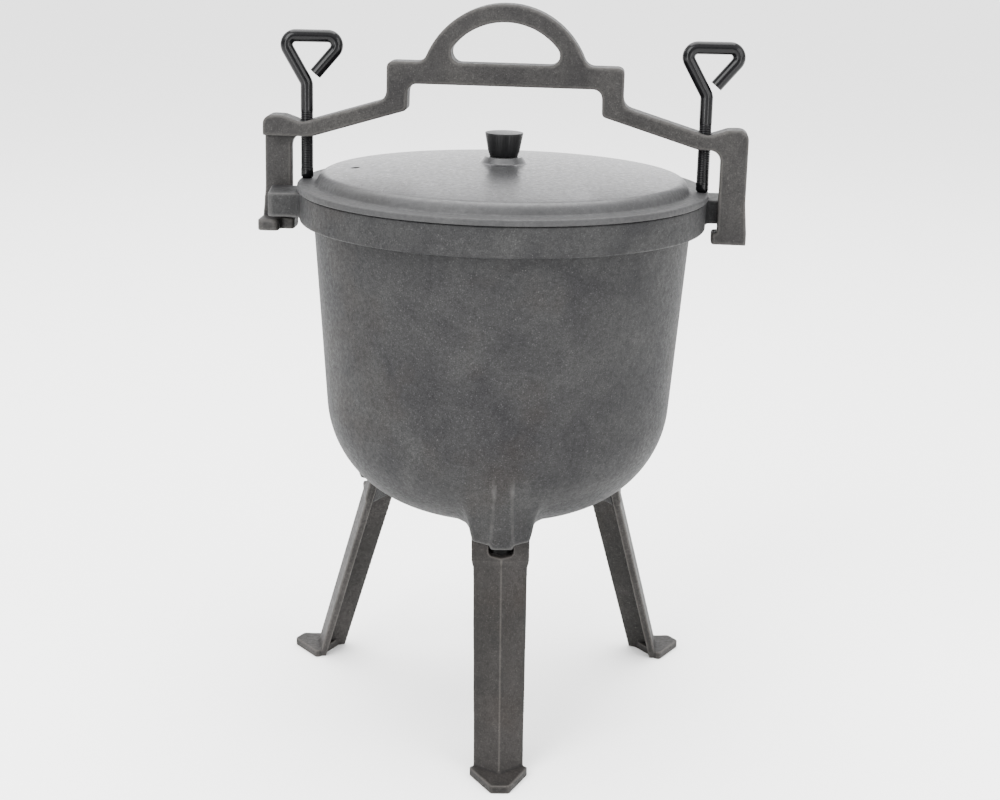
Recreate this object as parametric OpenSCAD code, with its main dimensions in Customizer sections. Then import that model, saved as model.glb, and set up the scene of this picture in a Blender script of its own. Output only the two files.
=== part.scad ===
// Cast-iron hunter's cauldron: a pot on three plug-in legs, a lid, and a clamp
// bar with two screws that press the lid shut. Millimetres, +Z is up, the front
// leg points to -Y, and the origin is on the floor under the middle of the pot.

/* [Pot] */
// Height of the top of the rim above the floor
rim_top = 392.2; // [370:0.1:430]
// Outer radius of the band round the mouth
rim_r = 148; // [146:0.5:156]
// Height of the band
rim_h = 21.5; // [18:0.5:30]
// How far the band stands out from the wall under it
band_out = 10.8; // [6:0.2:16]
// Taper of the wall, in degrees from upright
wall_draft = 4; // [1:0.5:6]
// Thickness of the cast wall
wall = 5.5; // [4:0.5:8]
// Radius of the curve between the wall and the bottom
belly_r = 82.4; // [70:0.2:95]
// Distance from the rim's top down to the centre of that curve
belly_drop = 152; // [130:0.5:170]
// Radius of each of the arcs that make up that curve
belly_arc_r = 50; // [40:1:55]
// Radius of the shallow dome of the bottom
bottom_r = 286.6; // [240:1:340]
// Radius of the rounded edges of the band
rim_round = 1.6; // [0.5:0.1:3]

/* [Lugs] */
// How far each lug stands out of the band
lug_out = 21.9; // [20:0.1:24]
// Width of a lug
lug_w = 37.5; // [30:0.5:38]
// Thickness of a lug
lug_h = 17.5; // [14:0.5:20]
// Distance from the rim's top down to the lug's top
lug_drop = 0.9; // [0.5:0.1:3]
// Radius of the fillet where a lug meets the band
lug_fillet = 4; // [1:0.5:6]
// Radius of the lug's outer corners
lug_round = 3; // [1:0.5:6]

/* [Leg sockets] */
// Distance from the belly's centre down to the seat, where a leg meets its boss
seat_drop = 80.2; // [76:0.2:85]
// Half the angle between the two sides of a boss or leg
vee_half = 51.7; // [45:0.1:58]
// Distance from the wall's top radius in to the boss's flat front, at the seat
boss_in = 19.6; // [17:0.1:22]
// Backward lean of that front, in degrees
boss_lean = 3; // [1:0.5:5]
// Half the width of the boss's flat front at the seat
boss_front_half = 8.5; // [7:0.1:10]
// Half the width of a boss
boss_half = 24; // [22:0.5:27]
// Half the width of a boss where it meets the leg
boss_foot_half = 20.8; // [20:0.1:22]
// Height over which the boss widens above the leg
boss_flare = 10; // [6:1:14]
// Depth of the boss from its front to its back
boss_depth = 28.6; // [26:0.2:34]
// Height of the boss from the seat up to where it dies into the bowl
boss_h = 52; // [45:1:60]
// How far the tongue hangs over the leg's notch
tongue_drop = 3.6; // [2:0.1:5]
// Length of the wedge that plugs into the leg
tenon_h = 22; // [15:1:30]
// Play on each side of the wedge in the leg
socket_gap = 0.1; // [0.05:0.05:0.3]

/* [Legs] */
// Lean of a leg from upright, in degrees
leg_splay = 17; // [14:0.5:18]
// Distance from the boss's front in to the leg's outer edge, at the seat
leg_in = 4; // [3:0.1:5]
// Thickness of the leg's two arms
leg_t = 5.5; // [4:0.5:7]
// Half the width of the leg at the floor
leg_foot_half = 17.6; // [15:0.1:19]
// Half the width of the leg at its top
leg_top_half = 19.9; // [19:0.1:22]
// Height of the thick collar round the leg's top
collar_h = 15.5; // [12:0.5:20]
// How far the collar stands out
collar_t = 1.2; // [0.5:0.1:2]
// Height over which the collar fades out at its lower edge
collar_taper = 3.5; // [1:0.5:6]
// Width of the notch in the collar
notch_w = 17.8; // [17.2:0.1:19]
// Depth of the notch
notch_h = 9.5; // [7:0.5:12]
// Radius of the notch's lower corners
notch_round = 2.6; // [1:0.1:4]
// Thickness of the foot plate
foot_t = 6; // [4:0.5:8]
// How far the foot plate reaches inwards from the leg's outer edge on the floor
foot_behind = 15.1; // [10:0.1:20]
// How far the foot plate reaches outwards from that edge
foot_ahead = 16.5; // [10:0.5:30]
// Width of the foot plate at its back
foot_back_w = 44.4; // [38:0.2:50]
// Width of the foot plate at its tip
foot_tip_w = 13.2; // [10:0.2:18]
// Radius of the foot plate's corners
foot_round = 3; // [1:0.5:5]

/* [Lid] */
// Gap between the rim and the lid's flange
lid_gap = 0.3; // [0.1:0.1:0.6]
// How far the lid's flange reaches over the band
flange_over = 1.5; // [0:0.1:3]
// Thickness of the flange
flange_t = 4.5; // [3:0.5:6]
// Width of the flange outside the step
flange_w = 13.5; // [11:0.5:16]
// How far the step leans in as it rises
step_lean = 3.5; // [2:0.1:8]
// Height of the step above the flange
step_h = 7.8; // [5:0.2:10]
// Rise of the dome from its edge to the middle
dome_rise = 8.5; // [5:0.5:14]
// Thickness of the lid's dome
lid_t = 4.5; // [3.5:0.5:6]
// Radius of the rounded edge of the dome
step_round = 3; // [1:0.5:4]
// Radius of the boss under the knob, at its foot
lid_boss_r = 16.8; // [15:0.2:20]
// Radius of the boss at its top
lid_boss_top_r = 13.5; // [12:0.1:15]
// Height of the boss above the dome
lid_boss_h = 4.7; // [3:0.1:8]
// Depth of the ring under the lid that finds the mouth
lip_h = 6; // [3:0.5:10]
// Thickness of that ring
lip_t = 5; // [3:0.5:7]
// Play between that ring and the mouth
lip_gap = 1.5; // [0.5:0.1:3]
// Diameter of the steam hole
steam_d = 6; // [4:0.5:8]
// Distance of the steam hole from the dome's edge
steam_in = 25.1; // [15:0.1:40]
// Height of the flat pad under the lid that the knob's washer bears on
pad_h = 1; // [0.5:0.1:3]
// Radius of that pad
pad_r = 9; // [8:0.5:14]

/* [Knob] */
// Height of the knob
knob_h = 17.3; // [15:0.1:22]
// Radius of the knob's foot
knob_foot_r = 10; // [9:0.1:11]
// Radius of the knob above its chamfer
knob_waist_r = 11.5; // [11:0.1:12.5]
// Radius of the knob's top
knob_top_r = 14; // [13:0.1:18]
// Height of the chamfer at the knob's foot
knob_chamfer = 4; // [2:0.5:6]
// Diameter of the knob's screw
knob_screw_d = 6; // [4:1:6]
// Radius of the brass bush in the knob
bush_r = 4.6; // [4:0.1:6]
// Length of the brass bush
bush_h = 11; // [8:0.5:12]
// Thickness of the washer under the lid
washer_t = 1.2; // [0.8:0.1:2]
// Outer radius of that washer
washer_r = 7; // [6:0.5:9]
// Radius of the screw's head
screw_head_r = 5; // [4.5:0.5:6]
// Height of the screw's head
screw_head_h = 3.9; // [3:0.1:5]

/* [Clamp bar] */
// Turn of the bar from the line through the lugs, in degrees
bar_yaw = -7; // [-8.5:0.5:-7]
// Thickness of the bar
bar_t = 19; // [15:0.5:22]
// Height of the middle of the handle's two arcs above the lid's flange
handle_up = 68.5; // [65:0.5:75]
// Outer radius of the handle
handle_r = 61.5; // [56:0.5:66]
// Thickness of the handle's arc
handle_t = 13; // [10:0.5:16]
// Height of the underside of the bridge above the flange
bridge_up = 71.8; // [69:0.2:77]
// Height of the bridge
bridge_h = 15.7; // [12:0.1:20]
// Distance from the middle to the outer face of each shoulder
shoulder_u = 85.3; // [82:0.1:90]
// Width of each shoulder's leg
shoulder_w = 15.5; // [13:0.5:18]
// Distance from the flange's edge in to each clamp screw
screw_in = 5; // [4.3:0.1:6.5]
// Height of the arm's top at the clamp screw above the flange
arm_up = 42.2; // [39:0.2:47]
// Thickness of the arm, measured upright
arm_t = 12.2; // [10:0.2:16]
// Fall of the arm in millimetres for each millimetre outwards
arm_fall = 0.303; // [0.25:0.005:0.35]
// How far the hook's outer face stands beyond the lug
hook_past = 5.9; // [4.5:0.1:10]
// Height of the top of the hook's head above the flange
head_top_up = 46.6; // [44:0.2:51]
// Thickness of the hook's head
head_h = 15.2; // [13:0.2:20]
// Width of the hook's upright web
web_w = 19.5; // [17:0.5:21]
// Thickness of the web
web_t = 9; // [7:0.1:9]
// Distance from the bar's middle plane to the web
web_gap = 0.5; // [0.4:0.1:1.5]
// Free lift between the hook's jaw and the lug
jaw_slack = 5; // [3:0.1:8]
// Thickness of the jaw
jaw_t = 8.4; // [6:0.2:12]
// Reach of the jaw from the bar's middle plane
jaw_reach = 22; // [16:0.5:26]
// Reach of the jaw's inner part
jaw_inner_reach = 11; // [6:0.5:14]
// Width of the jaw's outer part
jaw_w = 15.6; // [12:0.2:18]
// How far the jaw's inner part goes on towards the pot
jaw_inner_w = 9.6; // [6:0.2:10]
// How far the foot of the hook flares past the web
jaw_flare = 1.9; // [0.5:0.1:4]

/* [Clamp screws] */
// Diameter of the clamp screw's rod
rod_d = 8.2; // [7:0.1:9]
// Running play round the rod in the bar
rod_play = 0.08; // [0.02:0.01:0.1]
// Height of the bend below the loop, above the flange
rod_bend_up = 69.3; // [65:0.1:78]
// Radius of that bend
rod_bend_r = 9; // [6:0.5:14]
// Radius of the loop's corners
loop_r = 6.5; // [5:0.5:8]
// Height of the centres of the loop's upper corners above the bend
loop_up = 27.1; // [22:0.1:34]
// Distance from the rod to the loop's left corner centre
loop_left = 7.9; // [6:0.1:12]
// Distance from the rod to the loop's right corner centre
loop_right = 15.2; // [12:0.1:20]
// Distance from the rod to the wire's free end
loop_end_u = 6.2; // [5.5:0.1:9]
// Height of the wire's free end above the bend
loop_end_up = 6.7; // [3:0.1:14]
// Height of the ring groove above the screw's tip
groove_z = 4; // [2:0.5:6]
// Width of the ring groove
groove_w = 1.4; // [0.6:0.1:2]
// Depth of the ring groove
groove_d = 0.6; // [0.3:0.1:1]
// Chamfer on the screw's tip
tip_chamfer = 1.5; // [0.5:0.1:2]
// Swelling of the wire in its bends
bend_swell = 0.02; // [0.01:0.01:0.05]
// Overlap of a straight run with the bends beside it
bend_lap = 0.3; // [0.1:0.1:0.4]

/* [Hidden] */

$fn = 96;
eps = 0.01;
hair = 0.02;
arc_lap = 0.3;
big = 600;

iron = "#4b4a49";
iron_leg = "#53514e";
iron_lid = "#6a6867";
black = "#1c1c1e";
steel = "#9a9da0";
brass = "#b08d4a";

leg_turns = [0, 120, 240];
lug_turns = [0, 180];
bar_ends = [0, 180];

wall_top_r = rim_r - band_out;
band_z = rim_top - rim_h;
belly_z = rim_top - belly_drop;
belly_u = wall_top_r - (band_z - belly_z) * tan(wall_draft) - belly_r / cos(wall_draft);
bottom_z = belly_z + sqrt(pow(bottom_r - belly_r, 2) - pow(belly_u, 2));
belly_end = atan2(bottom_z - belly_z, belly_u);
belly_arcs = 5;
mouth_r = wall_top_r + rim_h * tan(wall_draft) - wall / cos(wall_draft);

seat_z = belly_z - seat_drop;
boss_front_r = wall_top_r - boss_in;
boss_back_r = boss_front_r - boss_depth;
leg_floor_r = boss_front_r - leg_in + seat_z * tan(leg_splay);
foot_back_r = leg_floor_r - foot_behind;
foot_tip_r = leg_floor_r + foot_ahead;

flange_r = rim_r + flange_over;
step_r = flange_r - flange_w;
dome_r = step_r - step_lean;
steam_r = dome_r - steam_in;

lid_z = rim_top + lid_gap;
flange_top = lid_z + flange_t;
step_top = flange_top + step_h;
dome_top = step_top + dome_rise;
dome_sphere = (dome_r * dome_r + dome_rise * dome_rise) / (2 * dome_rise);
knob_z = dome_top + lid_boss_h;
lid_under = dome_top - lid_t - pad_h;

tenon_back = leg_t / sin(vee_half) + 10.6;
tenon_front_half = 4.2;

screw_tip_z = flange_top;
screw_u = flange_r - screw_in;
hook_u = rim_r + lug_out + hook_past;
handle_z = flange_top + handle_up;
bridge_z = flange_top + bridge_up;
arm_top_z = flange_top + arm_up;
head_top_z = flange_top + head_top_up;
head_z = head_top_z - head_h;
rod_bend_z = flange_top + rod_bend_up;
loop_z = rod_bend_z + loop_up;
loop_end_z = rod_bend_z + loop_end_up;
lug_under = rim_top - lug_drop - lug_h;
jaw_top = lug_under - jaw_slack;
jaw_z = jaw_top - jaw_t;
loop_yaw = 0;

function unit(v) = v / norm(v);
function half_turn(p, a, b) = acos(unit(a - p) * unit(b - p)) / 2;
function run_in(p, a, b, r) = p + unit(a - p) * r / tan(half_turn(p, a, b));
function round_centre(p, a, b, r) = p + unit(unit(a - p) + unit(b - p)) * r / sin(half_turn(p, a, b));
function leftward(p, a, b) = (p[0] - a[0]) * (b[1] - p[1]) - (p[1] - a[1]) * (b[0] - p[0]) > 0;

// The slice of a corner's circle that lies between its two tangent points. The
// circle stays a hair inside its tangents, so that it always meets them cleanly.
module corner_arc(p, a, b, r) {
    from = run_in(p, a, b, r);
    to = run_in(p, b, a, r);
    centre = round_centre(p, a, b, r);
    intersection() {
        translate(centre) circle(r - hair);
        polygon([from, p, to, (from + to) / 2 + unit(centre - p) * arc_lap]);
    }
}

// An outline that runs anticlockwise, with a radius at each corner: outward
// corners are rounded off and inward corners are filled with a fillet.
module soft_outline(points, radii) {
    n = len(points);
    before = [for (i = [0 : n - 1]) points[(i + n - 1) % n]];
    after = [for (i = [0 : n - 1]) points[(i + 1) % n]];
    difference() {
        union() {
            polygon([for (i = [0 : n - 1]) each (radii[i] > 0
                ? [run_in(points[i], before[i], after[i], radii[i]),
                   run_in(points[i], after[i], before[i], radii[i])]
                : [points[i]])]);
            for (i = [0 : n - 1])
                if (radii[i] > 0 && leftward(points[i], before[i], after[i]))
                    corner_arc(points[i], before[i], after[i], radii[i]);
        }
        for (i = [0 : n - 1])
            if (radii[i] > 0 && !leftward(points[i], before[i], after[i]))
                corner_arc(points[i], before[i], after[i], radii[i]);
    }
}

// Bowl section, drawn inwards by an even offset from the outer face. The belly
// is a chain of short flats and arcs, because each arc then turns into a plain
// ring round the pot, and it leaves the true curve by less than a third of a
// millimetre.
module bowl_outline(inset) {
    step = (belly_end - wall_draft) / belly_arcs;
    corner_r = (belly_r - inset) / cos(step / 2);
    wall_head_r = wall_top_r + rim_h * tan(wall_draft) - inset / cos(wall_draft);
    spoke = unit([belly_u, belly_z - bottom_z]);
    corners = [for (k = [belly_arcs : -1 : 1]) let (turn = wall_draft + step * (k - 0.5))
        [belly_u, belly_z] + corner_r * [cos(turn), -sin(turn)]];
    union() {
        intersection() {
            translate([0, bottom_z]) circle(bottom_r - inset);
            polygon([[0, belly_z], [belly_u, belly_z], [0, bottom_z] + spoke * 2 * bottom_r, [0, -big]]);
        }
        soft_outline([[0, belly_z], [0, bottom_z] + spoke * (bottom_r - inset - hair), each corners,
                      [wall_head_r, rim_top], [0, rim_top]],
                     [0, 0, each [for (c = corners) belly_arc_r - inset], 0, 0]);
    }
}

module rim_outline() {
    soft_outline([[mouth_r, band_z], [rim_r, band_z], [rim_r, rim_top], [mouth_r, rim_top]],
                 [0, rim_round, rim_round, 0]);
}

module lug() {
    root = sqrt(rim_r * rim_r - lug_w * lug_w / 4);
    side = rim_r + lug_out;
    translate([0, 0, lug_under])
        linear_extrude(lug_h)
            difference() {
                union() {
                    soft_outline([[mouth_r + wall, -lug_w / 2], [side, -lug_w / 2],
                                  [side, lug_w / 2], [mouth_r + wall, lug_w / 2]],
                                 [0, lug_round, lug_round, 0]);
                    translate([root - wall, -lug_w / 2 - lug_fillet])
                        square([wall + lug_fillet, lug_w + 2 * lug_fillet]);
                }
                for (s = [-1, 1])
                    translate([sqrt(pow(rim_r + lug_fillet, 2) - pow(lug_w / 2 + lug_fillet, 2)),
                               s * (lug_w / 2 + lug_fillet)])
                        circle(lug_fillet);
                for (s = [-1, 1])
                    translate([rim_r + lug_fillet, s * (lug_w + lug_fillet)])
                        square([2 * lug_fillet, lug_w + 2 * lug_fillet - eps], center = true);
            }
}

// Everything on a leg or boss is drawn with the leg pointing to +Y.
module on_leg(turn) {
    rotate([0, 0, 180 + turn]) children();
}

module front_view(y0, y1) {
    translate([0, y1, 0]) rotate([90, 0, 0]) linear_extrude(y1 - y0) children();
}

module boss_front_cut() {
    translate([0, boss_front_r, seat_z])
        rotate([-boss_lean, 0, 0])
            translate([-big / 2, -big, -big / 2]) cube([big, big, big]);
}

module boss() {
    peak_r = boss_front_r + boss_front_half / tan(vee_half);
    side_r = peak_r - boss_half / tan(vee_half);
    intersection() {
        linear_extrude(seat_z + boss_h)
            polygon([[-boss_half, boss_back_r - wall], [boss_half, boss_back_r - wall],
                     [boss_half, side_r], [0, peak_r], [-boss_half, side_r]]);
        boss_front_cut();
        front_view(boss_back_r, peak_r)
            soft_outline([[-boss_foot_half, seat_z], [boss_foot_half, seat_z],
                          [boss_half, seat_z + boss_flare], [boss_half, seat_z + boss_h],
                          [-boss_half, seat_z + boss_h], [-boss_half, seat_z + boss_flare]],
                         [0, 0, boss_flare, 0, 0, boss_flare]);
    }
}

module tongue() {
    half = notch_w / 2 - 4 * socket_gap - eps;
    intersection() {
        boss_front_cut();
        front_view(boss_back_r + wall, boss_front_r + wall)
            soft_outline([[-half, seat_z - tongue_drop], [half, seat_z - tongue_drop],
                          [half, seat_z + tongue_drop], [-half, seat_z + tongue_drop]],
                         [notch_round, notch_round, 0, 0]);
    }
}

// Frame whose Z axis runs up the leg's outer edge.
module along_leg() {
    translate([0, leg_floor_r, 0]) rotate([leg_splay, 0, 0]) children();
}

// Half angle of the leg's section when it is cut square to the leg.
leg_half = atan(tan(vee_half) / cos(leg_splay));

module tenon() {
    top = seat_z + boss_flare / 2;
    front = (leg_t + socket_gap) / sin(leg_half) + tenon_front_half / tan(leg_half);
    back = tenon_back;
    intersection() {
        along_leg()
            linear_extrude(2 * seat_z)
                polygon([[-tenon_front_half, -front], [tenon_front_half, -front],
                         [tenon_front_half + (back - front) * tan(leg_half), -back],
                         [-tenon_front_half - (back - front) * tan(leg_half), -back]]);
        translate([-big / 2, 0, seat_z - tenon_h]) cube([big, big, top - seat_z + tenon_h]);
    }
}

module pot() {
    color(iron)
    difference() {
        union() {
            rotate_extrude() bowl_outline(0);
            rotate_extrude() rim_outline();
            for (turn = lug_turns) rotate([0, 0, turn]) lug();
            for (turn = leg_turns)
                on_leg(turn) {
                    boss();
                    tongue();
                    tenon();
                }
        }
        rotate_extrude() difference() {
            union() {
                bowl_outline(wall);
                translate([0, rim_top - eps]) square([mouth_r, wall]);
            }
            translate([-big, 0]) square([big, big]);
        }
    }
}

// Angle section between two offsets from the leg's outer faces.
module vee_section(out, in) {
    span = (leg_top_half + leg_t) / tan(leg_half);
    outer = [0, out / sin(leg_half)];
    inner = [0, -in / sin(leg_half)];
    reach = [span * tan(leg_half), -span];
    polygon([outer, outer + reach, inner + reach, inner,
             inner + [-reach[0], reach[1]], outer + [-reach[0], reach[1]]]);
}

// Frame of one arm: X runs along the arm from the outer edge, Y points outwards.
module on_arm(side) {
    mirror([side, 0, 0]) rotate([0, 0, leg_half - 90]) children();
}

// Angle section from z0 to z1, with the arms' ends trimmed to the leg's taper.
module leg_vee(out, in, z0, z1, extra) {
    foot_arm = leg_foot_half / sin(leg_half) + extra;
    taper = atan((leg_top_half - leg_foot_half) / sin(leg_half) * cos(leg_splay) / seat_z);
    difference() {
        translate([0, 0, z0]) linear_extrude(z1 - z0) vee_section(out, in);
        for (side = [0, 1])
            on_arm(side)
                translate([foot_arm, 0, 0])
                    rotate([0, taper, 0])
                        translate([0, -big / 2, -big / 2]) cube([big, big, big]);
    }
}

module collar() {
    low = (seat_z - collar_h) / cos(leg_splay);
    difference() {
        leg_vee(collar_t, leg_t / 2, low, seat_z * 2, collar_t / 2);
        for (side = [0, 1])
            on_arm(side)
                translate([0, -eps, low])
                    rotate([atan(collar_taper / collar_t), 0, 0])
                        translate([-big / 2, -big / 2, -big]) cube([big, big, big]);
    }
}

module foot_plate() {
    linear_extrude(foot_t)
        soft_outline([[-foot_back_w / 2, foot_back_r], [foot_back_w / 2, foot_back_r],
                      [foot_tip_w / 2, foot_tip_r], [-foot_tip_w / 2, foot_tip_r]],
                     [foot_round, foot_round, foot_round, foot_round]);
}

module leg(turn) {
    color(iron_leg)
    on_leg(turn) {
        foot_plate();
        difference() {
            intersection() {
                along_leg() {
                    leg_vee(0, leg_t, -foot_t, seat_z * 2, 0);
                    collar();
                }
                translate([-big / 2, 0, 0]) cube([big, big, seat_z]);
            }
            front_view(boss_back_r, leg_floor_r)
                soft_outline([[-notch_w / 2, seat_z - notch_h], [notch_w / 2, seat_z - notch_h],
                              [notch_w / 2, seat_z + notch_h], [-notch_w / 2, seat_z + notch_h]],
                             [notch_round, notch_round, 0, 0]);
        }
    }
}

module leg_front() { leg(leg_turns[0]); }
module leg_rear_right() { leg(leg_turns[1]); }
module leg_rear_left() { leg(leg_turns[2]); }

module lid_outline() {
    lip_r = mouth_r - lip_gap;
    hollow_r = lip_r - lip_t;
    difference() {
        union() {
            soft_outline([[0, lid_z], [flange_r, lid_z], [flange_r, flange_top],
                          [step_r, flange_top], [dome_r, step_top], [0, step_top]],
                         [0, rim_round / 2, rim_round, rim_round, step_round, 0]);
            intersection() {
                translate([0, dome_top - dome_sphere]) circle(dome_sphere, $fn = 720);
                translate([0, step_top - eps]) square([dome_r - step_round / 2, big]);
            }
            translate([0, dome_top - lid_t])
                polygon([[0, 0], [lid_boss_r, 0], [lid_boss_r, lid_t - 0.2],
                         [lid_boss_top_r, lid_t + lid_boss_h], [0, lid_t + lid_boss_h]]);
            translate([hollow_r, lid_z - lip_h]) square([lip_t, lip_h + flange_t / 2]);
        }
        difference() {
            intersection() {
                translate([0, dome_top - dome_sphere]) circle(dome_sphere - lid_t, $fn = 720);
                translate([0, lid_z - lip_h - eps]) square([hollow_r, big]);
            }
            translate([0, lid_under]) square([pad_r, big]);
        }
        translate([-big, 0]) square([big, big]);
    }
}

module lid() {
    color(iron_lid)
    difference() {
        rotate_extrude() lid_outline();
        translate([-steam_r, 0, lid_z]) cylinder(d = steam_d, h = dome_top);
        translate([0, 0, lid_z]) cylinder(d = knob_screw_d + 0.6, h = dome_top);
    }
}

module knob() {
    color(black)
    difference() {
        translate([0, 0, knob_z])
            rotate_extrude()
                polygon([[0, 0], [knob_foot_r, 0], [knob_waist_r, knob_chamfer],
                         [knob_top_r, knob_h], [0, knob_h]]);
        translate([0, 0, knob_z - eps]) cylinder(r = bush_r, h = bush_h + eps);
    }
}

module knob_bush() {
    color(brass)
    translate([0, 0, knob_z])
        difference() {
            cylinder(r = bush_r, h = bush_h);
            translate([0, 0, -eps]) cylinder(d = knob_screw_d + 0.1, h = bush_h - 1);
        }
}

module knob_washer() {
    color(steel)
    translate([0, 0, lid_under - washer_t])
        difference() {
            cylinder(r = washer_r, h = washer_t);
            translate([0, 0, -eps]) cylinder(d = knob_screw_d + 0.4, h = washer_t + 2 * eps);
        }
}

module knob_screw() {
    head_top = lid_under - washer_t;
    color(steel)
    difference() {
        union() {
            translate([0, 0, head_top - screw_head_h]) cylinder(r = screw_head_r, h = screw_head_h);
            translate([0, 0, head_top - eps])
                cylinder(d = knob_screw_d, h = knob_z + bush_h - 3 - head_top);
        }
        translate([-big / 2, -0.6, head_top - screw_head_h - eps]) cube([big, 1.2, 1.6]);
    }
}

// Outline of the bar seen square on, for one half of the bar.
module arm_outline() {
    bridge_top = bridge_z + bridge_h;
    dip_u = screw_u + 2.5;
    fall_to = arm_top_z - (dip_u - screw_u) * arm_fall;
    arm_root = arm_top_z + (screw_u - shoulder_u) * arm_fall;
    shoulder_in = shoulder_u - shoulder_w;
    under_root = arm_top_z - arm_t + (screw_u - shoulder_in) * arm_fall;
    under_end = screw_u - (head_z - arm_top_z + arm_t) / arm_fall;
    soft_outline([[0, bridge_z], [shoulder_in, bridge_z], [shoulder_in + 0.5, under_root],
                  [under_end, head_z], [hook_u, head_z], [hook_u, head_top_z],
                  [hook_u - 15, head_top_z - 0.4], [dip_u, fall_to],
                  [shoulder_u, arm_root], [shoulder_u, bridge_top], [0, bridge_top]],
                 [0, 6.5, 3, 12, 0, 7, 12, 10, 8, 4.5, 0]);
}

// Half disc of the handle with its finger gap, and fillets to the shoulders.
module handle_outline() {
    top = bridge_z + bridge_h;
    hole_z = top - 0.2;
    inner_r = handle_r - handle_t;
    hole_round = 7.5;
    root_round = 8;
    hole_u = sqrt(pow(inner_r - hole_round, 2) - pow(hole_z + hole_round - handle_z, 2));
    root_u = sqrt(pow(handle_r + root_round, 2) - pow(top + root_round - handle_z, 2));
    hole_far = 3 * [hole_u, hole_z + hole_round - handle_z];
    root_touch = unit([root_u, top + root_round - handle_z]) * handle_r + [0, handle_z];
    difference() {
        union() {
            intersection() {
                translate([0, handle_z]) circle(handle_r);
                translate([-big / 2, bridge_z + bridge_h / 2]) square([big, big]);
            }
            for (s = [0, 1]) mirror([s, 0])
                difference() {
                    polygon([[0, top - bridge_h / 2], [root_u, top - bridge_h / 2], [root_u, top],
                             [root_u, top + root_round], root_touch]);
                    translate([root_u, top + root_round]) circle(root_round);
                }
        }
        intersection() {
            translate([0, handle_z]) circle(inner_r);
            polygon([[-hole_u, hole_z], [hole_u, hole_z], [hole_u, hole_z + hole_round],
                     [hole_far[0], hole_far[1] + handle_z], [0, handle_z + big],
                     [-hole_far[0], hole_far[1] + handle_z], [-hole_u, hole_z + hole_round]]);
        }
        for (s = [-1, 1]) translate([s * hole_u, hole_z + hole_round]) circle(hole_round);
    }
}

module web_outline() {
    inner = hook_u - web_w;
    flare_z = jaw_top + 22;
    soft_outline([[inner, jaw_z], [hook_u + jaw_flare, jaw_z], [hook_u + jaw_flare, jaw_top],
                  [hook_u, flare_z], [hook_u, head_z + 4], [inner - 12, head_z + 4],
                  [inner - 12, head_z], [inner, head_z]],
                 [0, 0, 6, 30, 0, 0, 0, 8]);
}

module jaw_outline() {
    out = hook_u + jaw_flare;
    soft_outline([[out - jaw_w - jaw_inner_w, -web_gap - web_t], [out, -web_gap - web_t],
                  [out, jaw_reach], [out - jaw_w, jaw_reach], [out - jaw_w, jaw_inner_reach],
                  [out - jaw_w - jaw_inner_w, jaw_inner_reach]],
                 [2, 3, 4, 4, 2, 3]);
}

module hook() {
    translate([0, -web_gap, 0])
        rotate([90, 0, 0])
            linear_extrude(web_t) web_outline();
    translate([0, 0, jaw_z]) linear_extrude(jaw_t) jaw_outline();
}

module clamp_bar() {
    color(iron)
    rotate([0, 0, bar_yaw])
        difference() {
            union() {
                translate([0, bar_t / 2, 0])
                    rotate([90, 0, 0])
                        linear_extrude(bar_t) {
                            handle_outline();
                            arm_outline();
                            mirror([1, 0]) arm_outline();
                        }
                for (turn = bar_ends) rotate([0, 0, turn]) hook();
            }
            for (turn = bar_ends) rotate([0, 0, turn])
                translate([screw_u, 0, jaw_top])
                    cylinder(d = rod_d + 2 * rod_play, h = handle_z - jaw_top);
        }
}

// A bend towards +X that carries on what follows it. A bent wire swells a
// little, and each straight run ends inside the bends beside it.
module bend(radius, turn) {
    translate([radius, 0, 0])
        mirror([1, 0, 0])
            rotate([90, 0, 0])
                rotate_extrude(angle = turn)
                    translate([radius, 0]) circle(r = rod_d / 2 + bend_swell);
    translate([radius, 0, 0]) rotate([0, turn, 0]) translate([-radius, 0, 0]) children();
}

module run(length, lap_after) {
    translate([0, 0, -bend_lap]) cylinder(d = rod_d, h = length + bend_lap + lap_after);
}

module clamp_screw(side) {
    rise = loop_z - rod_bend_z;
    lean = acos(rise / norm([loop_left, rise])) + asin(loop_r / norm([loop_left, rise]));
    slack = rod_bend_r * tan(lean / 2);
    up = sqrt(loop_left * loop_left + rise * rise - loop_r * loop_r);
    end_v = [loop_right - loop_end_u, loop_z - loop_end_z];
    down = sqrt(end_v * end_v - loop_r * loop_r);
    close = 90 + atan2(end_v[0], end_v[1]) + asin(loop_r / norm(end_v)) ;
    stem = rod_bend_z - screw_tip_z - slack;
    rod_r = rod_d / 2;
    color(black)
    rotate([0, 0, bar_yaw])
        translate([side * screw_u, 0, screw_tip_z])
            rotate([0, 0, loop_yaw - bar_yaw]) {
                rotate_extrude()
                    polygon([[0, 0], [rod_r - tip_chamfer, 0], [rod_r, tip_chamfer],
                             [rod_r, groove_z], [rod_r - groove_d, groove_z],
                             [rod_r - groove_d, groove_z + groove_w],
                             [rod_r, groove_z + groove_w],
                             [rod_r, stem + bend_lap], [0, stem + bend_lap]]);
                translate([0, 0, stem])
                    mirror([1, 0, 0]) bend(rod_bend_r, lean) mirror([1, 0, 0]) {
                        run(up - slack, bend_lap);
                        translate([0, 0, up - slack])
                            bend(loop_r, 90 + lean) {
                                run(loop_left + loop_right, bend_lap);
                                translate([0, 0, loop_left + loop_right])
                                    bend(loop_r, close) run(down, 0);
                            }
                    }
            }
}

module clamp_screw_left() { clamp_screw(-1); }
module clamp_screw_right() { clamp_screw(1); }

pot();
leg_front();
leg_rear_right();
leg_rear_left();
lid();
knob();
knob_bush();
knob_screw();
knob_washer();
clamp_bar();
clamp_screw_left();
clamp_screw_right();
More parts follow.
